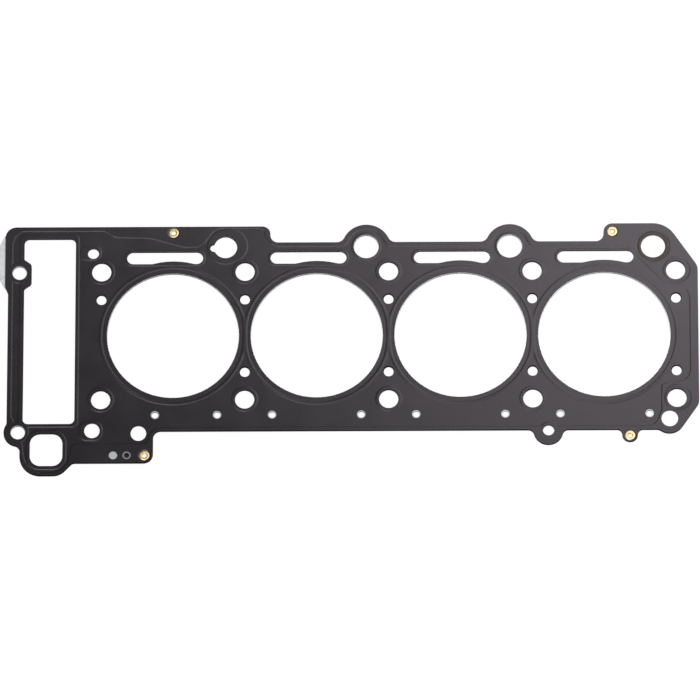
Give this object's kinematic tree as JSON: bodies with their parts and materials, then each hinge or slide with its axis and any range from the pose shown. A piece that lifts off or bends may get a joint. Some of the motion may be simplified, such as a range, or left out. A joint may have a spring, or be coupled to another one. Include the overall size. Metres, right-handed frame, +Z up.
{
  "type": "cylinder head gasket",
  "caption": "Multi-layer steel head gasket for an in-line engine: embossed beads round the bores, bolt, coolant and oil holes, rail slots and a timing chest window.",
  "frame": {"origin": "centre of the head-bolt pattern, on the plane that the lower bead crests lie on", "axes": "+X along the row of bores away from the timing chest window, +Y across to the slotted rail, +Z up out of the sheet"},
  "size_m": [0.4742, 0.1791, 0.0023],
  "materials": {
    "coated_steel": "satin",
    "bare_steel": "satin",
    "eyelet_brass": "satin",
    "seal_rubber": "matte"
  },
  "bodies": {
    "root": {"upper_bead_sheet": "coated_steel", "middle_sheet": "bare_steel", "lower_bead_sheet": "coated_steel", "oil_seal_ring": "seal_rubber", "eyelet_1": "eyelet_brass", "eyelet_2": "eyelet_brass", "eyelet_3": "eyelet_brass", "eyelet_4": "eyelet_brass"}
  },
  "joints": []
}
